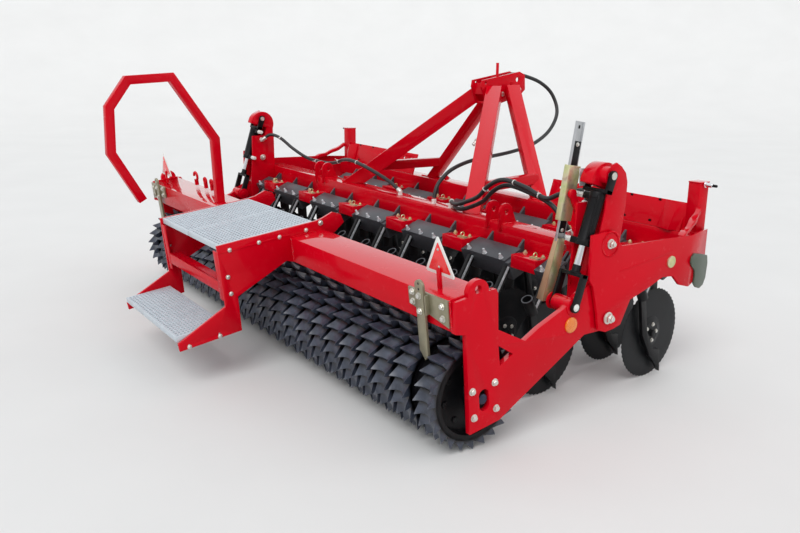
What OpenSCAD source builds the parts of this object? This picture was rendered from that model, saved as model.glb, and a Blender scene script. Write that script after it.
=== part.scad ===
// Seed drill three metres wide: two ranks of disc coulters in a three-point
// frame, followed by a ring roller on a hinged frame with a loading platform.
// X points right, Y in the direction of travel, Z up. All sizes in millimetres.

/* [Overall] */
// Width over the outer side plates
overall_w = 3000; // [2980:5:3020]
// Distance from the roller axis to the middle of the whole machine
mid_y = 409; // [405:1:413]

/* [Main frame] */
// Centre of the rear main beam ahead of the roller axis
rear_beam_y = 700; // [696:1:704]
// Centre of the front main beam ahead of the roller axis
front_beam_y = 1223; // [1215:1:1231]
// Height of both beam centres
beam_z = 595; // [590:1:600]
// Beam section, front to back
beam_d = 100; // [90:5:110]
// Beam section, height
beam_h = 90; // [80:5:100]
// Thickness of the outer side plates
side_t = 12; // [10:1:12]

/* [Coulters] */
// Disc diameter
disc_d = 400; // [396:1:400]
// Disc thickness
disc_t = 4; // [4:1:5]
// Disc hub behind the centre of its beam
hub_back = 150; // [145:1:155]
// Turn of each disc away from the direction of travel
disc_turn = 4; // [3:1:5]

/* [Roller] */
// Diameter over the lug tips
roller_d = 420; // [410:2:420]
// Lugs on one ring
lugs = 24; // [24:1:24]
// Width of one ring
ring_w = 104; // [100:1:106]

/* [Roller frame] */
// Height of the frame hinge
hinge_z = 405; // [404:1:406]
// Distance of the frame hinge ahead of the roller axis
hinge_y = 588; // [587:1:589]
// Lean of the roller frame as parked
frame_lean = 6.5; // [6:0.5:7]
// Thickness of the roller arm plates
arm_t = 22; // [20:1:22]

/* [Headstock] */
// Height of the top link bore
top_link_z = 1225; // [1220:1:1230]
// Diameter of the top link bore, category 2
top_link_d = 25.7; // [25.5:0.1:26]
// Diameter of the lower link pins, category 2
lower_pin_d = 28; // [28:0.1:28.7]
// Distance between the lower link brackets
lower_span = 825; // [820:1:870]

/* [Hidden] */
$fn = 48;
half_w = overall_w / 2;
roller_r = roller_d / 2;
disc_r = disc_d / 2;
beam_top = beam_z + beam_h / 2;
beam_bottom = beam_z - beam_h / 2;
rear_face = rear_beam_y - beam_d / 2;
rank_step = front_beam_y - rear_beam_y;
side_in = half_w - side_t;
arm_in = half_w - 40;
arm_out = arm_in + arm_t;
upright_t = 55;
upright_in = half_w - 100;
upright_out = upright_in + upright_t;
inner_plate_t = 10;

// Seed rows and roller rings share out the width between the side plates
row_pitch = (overall_w - 216) / 24;
ring_pitch = (overall_w - 404) / 22;
end_ring_x = half_w - 112;
scraper_gap = [10.5 * ring_pitch + ring_w / 2, end_ring_x - ring_w / 2];

// Cylinder: pins as [y, z], lengths along its axis from the top pin
cyl_top = [570, 946];
cyl_foot = [415, 475];
cyl_x = half_w - 57;
cyl_len = norm(cyl_top - cyl_foot);
cyl_tilt = -atan2(cyl_top[0] - cyl_foot[0], cyl_top[1] - cyl_foot[1]);
barrel_from = 66;
barrel_to = 316;
barrel_r = 35;
rod_r = 20;
pin_r = 15;
fork_in = half_w - 117;
fork_out = half_w + 2;
fork_t = 13;
eye_bore_r = 20;

// Depth gauge: sleeve hinge as [y, z], and where the blade ends above the cylinder foot
sleeve = [483, 873];
gauge_x = upright_in - 38;
gauge_tilt = -atan2(sleeve[0] - cyl_foot[0], sleeve[1] - cyl_foot[1]);
gauge_len = norm(sleeve - cyl_foot);

// Every second row belongs to one rank; the ranks are mirror images
rear_rows = [for (k = [0:11]) (10.5 - 2 * k) * row_pitch];
front_rows = [for (k = [0:11]) (11.5 - 2 * k) * row_pitch];
rear_pairs = [for (k = [0:4]) (7.5 - 4 * k) * row_pitch];
rear_boxes = [for (k = [0:5]) (9.5 - 4 * k) * row_pitch];
rear_single = [10.5 * row_pitch, -11.5 * row_pitch];
front_pairs = [for (x = rear_pairs) -x];
front_boxes = [for (x = rear_boxes) -x];
front_single = [for (x = rear_single) -x];

ring_x = concat([for (k = [-10.5:1:10.5]) k * ring_pitch], [end_ring_x, -end_ring_x]);

function two(n) = n < 10 ? str("0", n) : str(n);

// Outline drawn as [y, z] and given a thickness from x0 to x1
module slab(x0, x1) translate([x0, 0, 0]) rotate([90, 0, 90]) linear_extrude(x1 - x0) children();

// The same piece on both sides of the machine
module both() { children(); mirror([1, 0, 0]) children(); }

// Round bar or bore along X at [y, z]
module rod_x(p, r, x0, x1) translate([x0, p[0], p[1]]) rotate([0, 90, 0]) cylinder(r = r, h = x1 - x0);

// Flat band of width w through a list of points, mitred at each bend
function unit(v) = v / norm(v);
function way(p, i) = unit(p[min(i, len(p) - 2) + 1] - p[min(i, len(p) - 2)]);
function mitre(p, i, w) = let (a = way(p, max(i - 1, 0)), b = way(p, i), n = unit([-a[1] - b[1], a[0] + b[0]]))
    n * w / 2 / (n * [-b[1], b[0]]);
module band(p, w) polygon(concat([for (i = [0:len(p) - 1]) p[i] + mitre(p, i, w)],
    [for (i = [len(p) - 1:-1:0]) p[i] - mitre(p, i, w)]));

// Box section from p to q, w across and t deep
module strut(p, q, w, t) {
    d = q - p;
    translate(p) rotate([0, acos(d[2] / norm(d)), atan2(d[1], d[0])])
        translate([-t / 2, -w / 2, 0]) cube([t, w, norm(d)]);
}

// Frame of the roller: its outlines are level when the frame lies level
module leaning() translate([0, 0, roller_r]) rotate([frame_lean, 0, 0]) translate([0, 0, -roller_r]) children();

// Frame of a cylinder or the gauge: Z runs up its axis, the origin is its top pin
module along(pin, tilt) translate([0, pin[0], pin[1]]) rotate([tilt, 0, 0]) children();

module rear_beam_box() translate([-side_in, rear_face, beam_bottom]) cube([2 * side_in, beam_d, beam_h]);

front_half = half_w - 76;
module front_beam_box() translate([-front_half, front_beam_y - beam_d / 2, beam_bottom])
    cube([2 * front_half, beam_d, beam_h]);

module main_beams() color("crimson") {
    rear_beam_box();
    front_beam_box();
}

// Space swept by the cylinder barrel, as [y, z]
module barrel_slot() translate(cyl_top) rotate(cyl_tilt) translate([-260, -560]) square([312, 515]);

module upright_outline() {
    polygon([[480, 352], [480, 556], [493, 703], [500, 905], [650, 905], [650, 545], [638, 405], [625, 360]]);
    translate([578, 912]) circle(78);
    translate([hinge_y, hinge_z]) circle(50);
}

module side_uprights() color("crimson") {
    gauge_holder();
    both() upright();
}

module upright() {
    difference() {
        union() {
            slab(upright_in, upright_out) difference() {
                upright_outline();
                barrel_slot();
            }
            rod_x(cyl_top, 32, upright_out - 1, half_w - 14);
            rod_x([hinge_y, hinge_z], 20, upright_out - 1, half_w + 4);
        }
        rod_x(cyl_top, pin_r + 0.05, upright_in - inner_plate_t, half_w);
    }
    slab(upright_in - inner_plate_t, upright_in) intersection() {
        upright_outline();
        translate([400, 300]) square([300, 540]);
    }
}

// Carries the sleeve of the depth gauge, on the right only
module gauge_holder() {
    slab(gauge_x + 15, upright_in - inner_plate_t) {
        band([sleeve, [522, 800]], 28);
        translate(sleeve) circle(18);
    }
    rod_x(sleeve, 8, gauge_x + 8, gauge_x + 16);
}

// Flat of the side plate behind the bend, as [y, z]
module side_outline() polygon([
    [479, 736], [477, 569], [500, 540], [532, 430], [545, 362], [585, 348], [630, 352], [669, 362],
    [716, 455], [817, 589], [905, 600], [985, 545], [1061, 477], [1085, 470], [1285, 470],
    [1285, 655], [1200, 660], [960, 668], [747, 674], [643, 678], [600, 736], [540, 742]]);

bend_y = 1075;
bend_angle = 18;
module side_plates() color("crimson") both() {
    difference() {
        slab(side_in, half_w) intersection() {
            side_outline();
            translate([400, 300]) square([bend_y - 400, 500]);
        }
        rod_x([hinge_y, hinge_z], 20.3, side_in - 1, half_w + 1);
    }
    translate([half_w, bend_y, 0]) rotate([0, 0, bend_angle]) translate([-half_w, -bend_y, 0])
        slab(side_in, half_w) intersection() {
            side_outline();
            translate([bend_y, 300]) square([200, 500]);
        }
}

// Hooked plates and bosses bolted to the outside of the side plates
module side_hooks() color("silver") both() {
    translate([half_w, bend_y, 0]) rotate([0, 0, bend_angle]) translate([-half_w, -bend_y, 0])
        slab(half_w, half_w + 8) difference() {
            polygon([[1092, 575], [1215, 560], [1228, 497], [1170, 438], [1128, 462], [1118, 500]]);
            translate([1158, 502]) circle(9);
        }
    rod_x([948, 572], 24, half_w, half_w + 7);
}

post_w = 56;
module corner_posts() color("crimson") both() {
    translate([front_half - post_w - 2, 1205, beam_top]) cube([post_w, 60, 212]);
    translate([front_half - 30, 1235, beam_top + 212]) cylinder(r = 9, h = 34);
}

hopper_from = 575;
module hopper_plates() color("crimson") both()
    translate([hopper_from, 1179, beam_top + 2]) rotate([-18, 0, 0]) difference() {
        cube([front_half - post_w - 8 - hopper_from, 6, 125]);
        for (x = [60, 130], z = [45, 90]) translate([x, -1, z]) rotate([-90, 0, 0]) cylinder(r = 8, h = 8);
    }

module apex_outline() difference() {
    polygon([[1180, 1190], [1187, 1225], [1455, 1268], [1494, 1250], [1500, 1170], [1460, 1135],
        [1290, 1092], [1222, 1098]]);
    translate([1441, top_link_z]) circle(d = top_link_d);
    translate([1441, top_link_z - 55]) circle(d = top_link_d);
    translate([1210, 1212]) circle(d = 16);
}

module apex_plates() both() slab(34, 46) apex_outline();

module apex_head() color("crimson") {
    apex_plates();
    translate([-34, 1222, 1100]) cube([68, 60, 12]);
    translate([-34, 1200, 1150]) cube([68, 12, 60]);
    translate([0, 1330, 1240]) cylinder(r = 8, h = 75);
    translate([-34, 1315, 1228]) cube([68, 30, 12]);
}

module struts_raw() both() strut([62, 1385, 1185], [468, 1240, beam_top - 30], 74, 50);

module ties_raw() both() strut([450, 826, 735], [394, 1268, 735], 46, 50);

module headstock_struts() color("crimson") difference() {
    union() {
        struts_raw();
        ties_raw();
    }
    braces_raw();
    front_beam_box();
    translate([-46, 1100, 1000]) cube([92, 500, 300]);
    translate([-700, 1100, 400]) cube([1400, 400, beam_bottom - 400 + beam_h]);
}

module braces_raw() both() strut([58, 1262, 1165], [560, 700, beam_top - 30], 80, 80);

module headstock_braces() color("crimson") difference() {
    braces_raw();
    translate([-46, 1100, 1000]) cube([92, 500, 300]);
    translate([-700, 500, 400]) cube([1400, 400, beam_top - 400]);
}

link_y = 1330;
link_z = 560;
module lower_link_brackets() color("crimson") both() {
    slab(lower_span / 2 - 53, lower_span / 2 - 33)
        polygon([[front_beam_y + beam_d / 2, 545], [1340, 520], [1365, 545], [1360, 590],
            [front_beam_y + beam_d / 2, 660]]);
    rod_x([link_y, link_z], 24, lower_span / 2 - 34, lower_span / 2 - 27);
    rod_x([link_y, link_z], lower_pin_d / 2, lower_span / 2 - 34, lower_span / 2 + 45);
}

lug_x = [738, 823];
module beam_lugs() color("crimson") both()
    for (x = lug_x) slab(x - 6, x + 6) difference() {
        union() {
            polygon([[634, 612], [rear_face, 612], [rear_face, beam_top], [735, beam_top], [702, 715],
                [640, 700]]);
            translate([672, 694]) circle(38);
        }
        translate([676, 692]) circle(11);
        translate([rear_face, beam_bottom]) square([beam_d, beam_h]);
    }

// Rubber torsion housing, leaning back under its beam
housing = [568, 503];
housing_s = 84;
housing_lean = 24;
module housing_block(x0, x1, s) translate([x0, housing[0], housing[1]]) rotate([housing_lean, 0, 0])
    translate([0, -s / 2, -s / 2]) cube([x1 - x0, s, s]);

module in_rank(front) translate([0, front ? rank_step : 0, 0]) children();

module hanger_boxes() color("crimson") for (front = [false, true]) in_rank(front)
    for (x = front ? front_boxes : rear_boxes)
        translate([x - 72, 522, 0]) {
            translate([0, 0, 508]) cube([144, rear_face - 522, 57]);
            translate([0, 0, 508]) cube([144, rear_face - 482, beam_bottom - 508]);
        }

// A single housing reaches outward more than inward
function single_from(x) = x - (x > 0 ? 40 : 50);

module housing_unit(x0, x1, over, stays) {
    housing_block(x0 - over, x1 + over, housing_s);
    translate([x0, housing[0], housing[1]]) rotate([housing_lean, 0, 0])
        translate([0, -42, housing_s / 2]) cube([x1 - x0, 100, 8]);
    for (x = stays) slab(x, x + 12) difference() {
        polygon([[610, 535], [600, 470], [640, 470], [rear_face + 60, beam_bottom], [rear_face, beam_bottom],
            [rear_face, 600], [622, 570]]);
        translate(housing) rotate(housing_lean) translate([-42, -housing_s / 2]) square([100, housing_s + 8]);
    }
}

module torsion_housings() color("dimgray") for (front = [false, true]) in_rank(front) {
    for (x = front ? front_pairs : rear_pairs) housing_unit(x - 135, x + 135, 21, [x - 105, x + 93]);
    for (x = front ? front_single : rear_single) housing_unit(single_from(x), single_from(x) + 90, 0, [x + 2, x + 26]);
}

// Frame of one coulter: origin at the disc centre, turned with the disc
module at_coulter(x, front) translate([x, rear_beam_y - hub_back + (front ? rank_step : 0), disc_r])
    rotate([0, 0, disc_turn]) children();

module coulter_arm() {
    slab(-34, -20) {
        band([[30, 285], [38, 160], [0, 0]], 56);
        circle(34);
    }
    rod_x([0, 0], 15, -24, 24);
}

module coulter_arms(rows, front) color([0.09, 0.09, 0.1]) difference() {
    for (x = rows) at_coulter(x, front) coulter_arm();
    in_rank(front) {
        for (x = front ? front_pairs : rear_pairs) housing_block(x - 156, x + 156, housing_s);
        for (x = front ? front_single : rear_single) housing_block(single_from(x), single_from(x) + 90, housing_s);
    }
}

module rear_coulter_arms() coulter_arms(rear_rows, false);

module front_coulter_arms() coulter_arms(front_rows, true);

module seed_boot() {
    slab(16, 32) band([[-32, 306], [-110, 180], [-78, 20], [-12, -88]], 34);
    slab(12, 32) polygon([[-30, -60], [42, -78], [56, -185], [30, -150], [-32, -92]]);
    translate([30, -136, 222]) rotate([30, 0, 0]) difference() {
        translate([0, 0, -45]) cylinder(r = 22, h = 75);
        translate([0, 0, -20]) cylinder(r = 19, h = 60);
    }
}

module seed_boots() color([0.1, 0.1, 0.11]) for (front = [false, true])
    difference() {
        for (x = front ? front_rows : rear_rows) at_coulter(x, front) seed_boot();
        in_rank(front) {
            for (x = front ? front_pairs : rear_pairs) housing_block(x - 156, x + 156, housing_s);
            for (x = front ? front_single : rear_single) housing_block(single_from(x), single_from(x) + 90, housing_s);
        }
    }

module disc(x, front) color([0.12, 0.12, 0.13]) at_coulter(x, front) difference() {
    union() {
        rod_x([0, 0], disc_r, -disc_t / 2, disc_t / 2);
        rod_x([0, 0], 50, -14, 8);
        for (a = [0:72:288]) rod_x([38 * cos(a), 38 * sin(a)], 7, 7, 14);
    }
    rod_x([0, 0], 15.05, -40, 40);
}

// Round hose: a ring of sides around each point of a route
function bend_at(p, i) = unit(p[min(i + 1, len(p) - 1)] - p[max(i - 1, 0)]);
function side_of(d) = unit(cross(d, abs(d[2]) > 0.9 ? [0, 1, 0] : [0, 0, 1]));
function curve(a, b, c, d, t) = ((2 * b) + (c - a) * t + (2 * a - 5 * b + 4 * c - d) * t * t
    + (3 * b - a - 3 * c + d) * t * t * t) / 2;
function smooth(p, n) = concat([for (i = [0:len(p) - 2], j = [0:n - 1])
    curve(p[max(i - 1, 0)], p[i], p[i + 1], p[min(i + 2, len(p) - 1)], j / n)], [p[len(p) - 1]]);
module hose(route, r, steps = 3, sides = 8) {
    p = smooth(route, steps);
    n = len(p);
    points = [for (i = [0:n - 1], k = [0:sides - 1])
        let (d = bend_at(p, i), u = side_of(d), v = cross(d, u), a = 360 * k / sides)
        p[i] + r * (cos(a) * u + sin(a) * v)];
    walls = [for (i = [0:n - 2], k = [0:sides - 1]) let (m = (k + 1) % sides)
        [i * sides + k, (i + 1) * sides + k, (i + 1) * sides + m, i * sides + m]];
    polyhedron(points, concat(walls, [[for (k = [0:sides - 1]) k]],
        [[for (k = [sides - 1:-1:0]) (n - 1) * sides + k]]));
}

right_route = [[1368, 560, 815], [1352, 604, 850], [1290, 640, 858], [1170, 645, 825], [1094, 640, 797],
    [978, 636, 827], [850, 630, 842], [760, 625, 805], [692, 622, 745], [600, 622, 706], [530, 634, 684],
    [470, 656, 678], [420, 690, 676]];
lower_route = [[1190, 700, 654], [1172, 680, 702], [1110, 658, 772], [978, 658, 803], [850, 654, 816],
    [768, 650, 782], [700, 648, 724], [610, 646, 682], [545, 652, 662],
    [480, 672, 654], [420, 704, 652]];
left_route = [[-1368, 560, 815], [-1350, 604, 846], [-1300, 650, 828], [-1226, 700, 765], [-1110, 745, 712],
    [-919, 760, 704], [-780, 758, 722], [-681, 744, 748], [-530, 700, 768], [-383, 684, 760],
    [-222, 690, 727], [-102, 700, 690], [-30, 704, 656]];
supply_route = [[268, 700, 668], [262, 722, 724], [250, 770, 764], [240, 830, 796], [228, 920, 820],
    [212, 1030, 834], [200, 1120, 838], [188, 1290, 852], [175, 1450, 880], [150, 1600, 945], [118, 1688, 1040],
    [78, 1684, 1138], [46, 1620, 1204], [16, 1524, 1242], [2, 1441, 1253], [0, 1385, 1230], [0, 1361, 1173],
    [0, 1345, 1100], [0, 1322, 1036], [0, 1260, 957], [0, 1217, 914]];
hose_r = 10;
coupler_at = [0, 1217, 914];
coupler_lean = -49;

module cylinder_hoses() color([0.06, 0.06, 0.07])
    for (route = [right_route, lower_route, left_route]) hose(route, hose_r, 2);

module supply_hose() color([0.06, 0.06, 0.07]) hose(supply_route, hose_r);

module hose_coupler() color("silver") translate(coupler_at) rotate([coupler_lean, 0, 0])
    translate([0, 0, -52]) cylinder(r = 13, h = 52);

module port_fittings() color("ghostwhite") {
    both() translate([upright_in - inner_plate_t - 22, 546, 801]) cube([22, 28, 28]);
    translate([1176, 686, beam_top]) cube([28, 28, 15]);
    translate([382, 678, beam_top]) cube([38, 44, 50]);
    translate([254, 686, beam_top]) cube([28, 28, 29]);
    translate([-48, 690, beam_top]) cube([32, 28, 18]);
}

module roller_beam() color("crimson") leaning()
    translate([-arm_in, -100, 490]) cube([2 * arm_in, 160, 112]);

function into_lean(p) = [p[0] * cos(frame_lean) + (p[1] - roller_r) * sin(frame_lean),
    roller_r - p[0] * sin(frame_lean) + (p[1] - roller_r) * cos(frame_lean)];
arm_hinge = into_lean([hinge_y, hinge_z]);
arm_foot = into_lean(cyl_foot);
module arm_outline() difference() {
    union() {
        polygon([[-95, 602], [-104, 490], [-59, 474], [-73, 101], [64, 107], [502, 295], [606, 282],
            [661, 337], [640, 420], [570, 496], [545, 491], [471, 466], [397, 430], [272, 396],
            [202, 368], [81, 450], [89, 583], [81, 600], [45, 602]]);
        translate([4, 609]) circle(45);
        translate(arm_hinge) circle(55);
        translate(arm_foot) circle(32);
    }
    translate([4, 619]) circle(15);
    polygon([[78, 391], [143, 337], [79, 313]]);
    translate([0, 228.5]) circle(22.5);
    translate([0, 191.5]) circle(22.5);
    translate([-22.5, 191.5]) square([45, 37]);
    translate(arm_hinge) circle(20.05);
}

module roller_arms() color("crimson") both() leaning() slab(arm_in, arm_out) arm_outline();

// Pins at the foot of each cylinder, with a boss against either face of the arm
module foot_pins() color("silver") both() leaning() {
    rod_x(arm_foot, 32, upright_in, arm_in);
    rod_x(arm_foot, pin_r, fork_in - 7, upright_in + 1);
    rod_x(arm_foot, 33, fork_in - 5, fork_in - 1);
    rod_x(arm_foot, 32, arm_out, half_w - 14);
    rod_x(arm_foot, pin_r, half_w - 15, fork_out + 6);
    rod_x(arm_foot, 33, fork_out + 1, fork_out + 6);
}

module roller_bearings() color("gray") both() leaning() difference() {
    union() {
        translate([arm_in - 12, -65, roller_r - 65]) cube([12, 130, 130]);
        rod_x([0, roller_r], 48, arm_in - 45, arm_in - 11);
    }
    rod_x([0, roller_r], 20.05, arm_in - 60, half_w);
}

module end_brackets() color("khaki") both() leaning() {
    translate([arm_in - 224, -110, 525]) cube([224, 10, 72]);
    translate([arm_in - 152, -150, 530]) difference() {
        cube([60, 40, 62]);
        translate([12, 8, -1]) cube([40, 22, 70]);
    }
    translate([scraper_gap[0] + 5, -158, 290]) cube([scraper_gap[1] - scraper_gap[0] - 10, 8, 350]);
}

module platform_side() {
    difference() {
        polygon([[-440, 622], [-95, 622], [-95, 607], [-95, 602], [-100, 602], [-100, 490], [-135, 505],
            [-383, 409], [-389, 255], [-669, 247], [-671, 282], [-444, 380]]);
        for (p = [[-413, 505], [-411, 430], [-490, 270], [-627, 262]]) translate(p) circle(6);
    }
    polygon([[-440, 602], [-100, 602], [25, 602], [60, 602], [60, 560], [120, 575], [172, 610], [160, 650],
        [120, 668], [60, 650], [25, 647], [-440, 647]]);
}

platform_x = [336, -345];
module platform_frame() color("crimson") leaning() {
    for (x = platform_x) slab(x, x + 12) platform_side();
    translate([-333, -440, 430]) cube([669, 12, 50]);
}

module grating(x0, x1, y0, y1, z, t) translate([x0, y0, z]) linear_extrude(t) difference() {
    w = x1 - x0;
    d = y1 - y0;
    nx = floor((w - 8) / 33);
    ny = floor((d - 8) / 33);
    square([w, d]);
    for (i = [0:nx - 1], j = [0:ny - 1])
        translate([4 + (w - 8) * (i + 0.12) / nx, 4 + (d - 8) * (j + 0.12) / ny])
            square([(w - 8) / nx * 0.76, (d - 8) / ny * 0.76]);
}

module platform_deck() color("silver") leaning() {
    grating(-333, 0, -433, 25, 622, 25);
    grating(2, 336, -433, 25, 622, 25);
    grating(-333, 336, -675, -452, 285, 25);
}

module handrail() color("crimson") leaning() slab(-581, -539) difference() {
    band([[-44, 590], [-16, 938], [-191, 1274], [-406, 1287], [-515, 1172], [-548, 958], [-442, 702]], 42);
    translate([-100, 502]) square([160, 100]);
}

module warning_boards() color("red") both() leaning() {
    translate([half_w - 160, -40, 650]) rotate([90, 0, 0]) linear_extrude(4)
        polygon([[-80, 0], [80, 0], [0, 138]]);
    translate([half_w - 170, -52, 602]) cube([20, 8, 60]);
}

function ring_point(a, r) = [r * cos(a), r * sin(a)];
lug_root = 176;
core_end = half_w - 70;
module ring_outline(phase) polygon([for (i = [0:lugs - 1], e = [0, 1])
    ring_point(i * 360 / lugs + phase + (e == 0 ? 0 : 13), e == 0 ? lug_root : roller_r)]);

module roller() color([0.13, 0.14, 0.17]) translate([0, 0, roller_r]) {
    difference() {
        union() {
            for (i = [0:len(ring_x) - 1])
                slab(ring_x[i] - ring_w / 2, ring_x[i] + ring_w / 2) ring_outline(i * 41 % 15);
            rod_x([0, 0], 160, -core_end, core_end);
        }
        rod_x([0, 0], 144, 40 - core_end, core_end - 40);
        both() rod_x([0, 0], 85, core_end - 30, half_w);
        both() for (a = [45:90:315]) rod_x(ring_point(a, 110), 18, core_end - 50, half_w);
    }
    both() rod_x([0, 0], 20, core_end - 41, arm_in + 12);
}

module barrel() color([0.07, 0.07, 0.08]) along(cyl_top, cyl_tilt) {
    for (x = [fork_in, fork_out - fork_t]) slab(x, x + fork_t) {
        circle(28);
        translate([-28, -66]) square([56, 66]);
    }
    translate([fork_in, -28, -66]) cube([fork_out - fork_in, 56, 14]);
    rod_x([0, 0], pin_r, fork_in - 4, fork_out + 4);
    translate([cyl_x, 0, -barrel_to]) difference() {
        cylinder(r = barrel_r, h = barrel_to - barrel_from);
        translate([0, 0, -1]) cylinder(r = rod_r + 0.05, h = barrel_to - barrel_from - 10);
    }
}

rod_top = 136;
fork_h = 124;
module rod_part() color("gainsboro") along(cyl_top, cyl_tilt) {
    translate([cyl_x, 0, -cyl_len + fork_h]) cylinder(r = rod_r, h = cyl_len - fork_h - rod_top);
    translate([0, 0, -cyl_len]) difference() {
        union() {
            for (x = [fork_in, fork_out - fork_t]) slab(x, x + fork_t) {
                circle(38);
                polygon([[-37, 10], [-20, fork_h], [12, fork_h], [37, 10]]);
            }
            translate([fork_in, -20, fork_h - 14]) cube([fork_out - fork_in, 32, 14]);
        }
        rod_x([0, 0], eye_bore_r, fork_in - 1, fork_out + 1);
    }
}

module barrel_right() barrel();

module barrel_left() mirror([1, 0, 0]) barrel();

module rod_right() rod_part();

module rod_left() mirror([1, 0, 0]) rod_part();

bar_w = 40;
bar_t = 12;
module gauge_sleeve() color("khaki") along(sleeve, gauge_tilt) difference() {
    translate([gauge_x - 13, -30, -103]) cube([26, 60, 206]);
    translate([gauge_x - bar_t / 2 - 0.5, -bar_w / 2 - 0.5, -110]) cube([bar_t + 1, bar_w + 1, 220]);
    rod_x([0, 0], 8.05, gauge_x, gauge_x + 20);
}

module gauge_bar() color("gainsboro") along(sleeve, gauge_tilt) {
    translate([gauge_x - bar_t / 2, -bar_w / 2, -gauge_len + 190]) cube([bar_t, bar_w, gauge_len + 84]);
    slab(gauge_x - bar_t / 2, gauge_x + bar_t / 2)
        polygon([[-32, -gauge_len + 40], [10, -gauge_len + 38], [bar_w / 2, -gauge_len + 191],
            [-bar_w / 2, -gauge_len + 191]]);
}

translate([0, -mid_y, 0]) {
    main_beams();
    side_uprights();
    side_plates();
    corner_posts();
    side_hooks();
    hopper_plates();
    headstock_struts();
    headstock_braces();
    apex_head();
    lower_link_brackets();
    beam_lugs();
    hanger_boxes();
    torsion_housings();
    rear_coulter_arms();
    front_coulter_arms();
    seed_boots();
    cylinder_hoses();
    supply_hose();
    hose_coupler();
    port_fittings();
    roller_beam();
    roller_arms();
    foot_pins();
    roller_bearings();
    end_brackets();
    platform_frame();
    platform_deck();
    handrail();
    warning_boards();
    roller();
    barrel_right();
    barrel_left();
    rod_right();
    rod_left();
    gauge_sleeve();
    gauge_bar();
    for (k = [0:11]) {
        disc(rear_rows[k], false);
        disc(front_rows[k], true);
    }
}
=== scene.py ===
import math

import bmesh
import bpy
from mathutils import Matrix, Vector


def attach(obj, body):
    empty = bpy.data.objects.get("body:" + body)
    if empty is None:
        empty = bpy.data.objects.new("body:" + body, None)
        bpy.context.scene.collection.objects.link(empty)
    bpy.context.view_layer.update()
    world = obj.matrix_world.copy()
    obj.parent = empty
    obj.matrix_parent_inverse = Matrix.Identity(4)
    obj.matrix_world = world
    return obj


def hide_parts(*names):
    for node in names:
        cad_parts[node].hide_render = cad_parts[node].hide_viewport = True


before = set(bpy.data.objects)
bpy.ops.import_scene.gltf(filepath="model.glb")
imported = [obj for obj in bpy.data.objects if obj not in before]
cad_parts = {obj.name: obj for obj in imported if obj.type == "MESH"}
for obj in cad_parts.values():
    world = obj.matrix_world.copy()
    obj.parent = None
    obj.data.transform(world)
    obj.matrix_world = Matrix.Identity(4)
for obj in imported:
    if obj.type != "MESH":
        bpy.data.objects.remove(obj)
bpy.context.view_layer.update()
print("frame loaded:", len(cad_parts), "nodes")

# Machine millimetres: x right, y forward from the roller axis, z up
middleY = 409
rollerR = 210
frameLean = math.radians(6.5)


def at(x, y, z):
    return Vector((x, y - middleY, z)) / 1000


def leaning(x, y, z):
    c, s = math.cos(frameLean), math.sin(frameLean)
    return at(x, y * c - (z - rollerR) * s, rollerR + y * s + (z - rollerR) * c)


def linked(name, data):
    thing = bpy.data.objects.new(name, data)
    bpy.context.scene.collection.objects.link(thing)
    return thing


# The camera comes first
camera = {"place": (3427, -1732, 1385), "azimuth": 54.82, "down": 15.07, "roll": 0.356, "lens": 36.357}


def aimCamera():
    a, e, r = (math.radians(camera[k]) for k in ("azimuth", "down", "roll"))
    back = Vector((math.sin(a) * math.cos(e), -math.cos(a) * math.cos(e), math.sin(e)))
    right = Vector((0, 0, 1)).cross(back).normalized()
    up = back.cross(right)
    x = right * math.cos(r) + up * math.sin(r)
    y = up * math.cos(r) - right * math.sin(r)
    data = bpy.data.cameras.new("photoCamera")
    data.lens = camera["lens"]
    data.sensor_width = 36
    data.clip_start = 0.05
    data.clip_end = 200
    seer = linked("photoCamera", data)
    turn = Matrix((x, y, back)).transposed().to_4x4()
    turn.translation = at(*camera["place"])
    seer.matrix_world = turn
    bpy.context.scene.camera = seer


aimCamera()
print("camera placed")


# Node trees: a wire is a socket that arithmetic can be written with
class Wire:
    def __init__(self, tree, socket):
        self.tree = tree
        self.socket = socket

    def work(self, operation, *values):
        return self.tree.add("ShaderNodeMath", {"operation": operation}, values)

    def __add__(self, other):
        return self.work("ADD", self, other)

    def __sub__(self, other):
        return self.work("SUBTRACT", self, other)

    def __rsub__(self, other):
        return self.work("SUBTRACT", other, self)

    def __mul__(self, other):
        return self.work("MULTIPLY", self, other)

    __radd__ = __add__
    __rmul__ = __mul__


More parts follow.
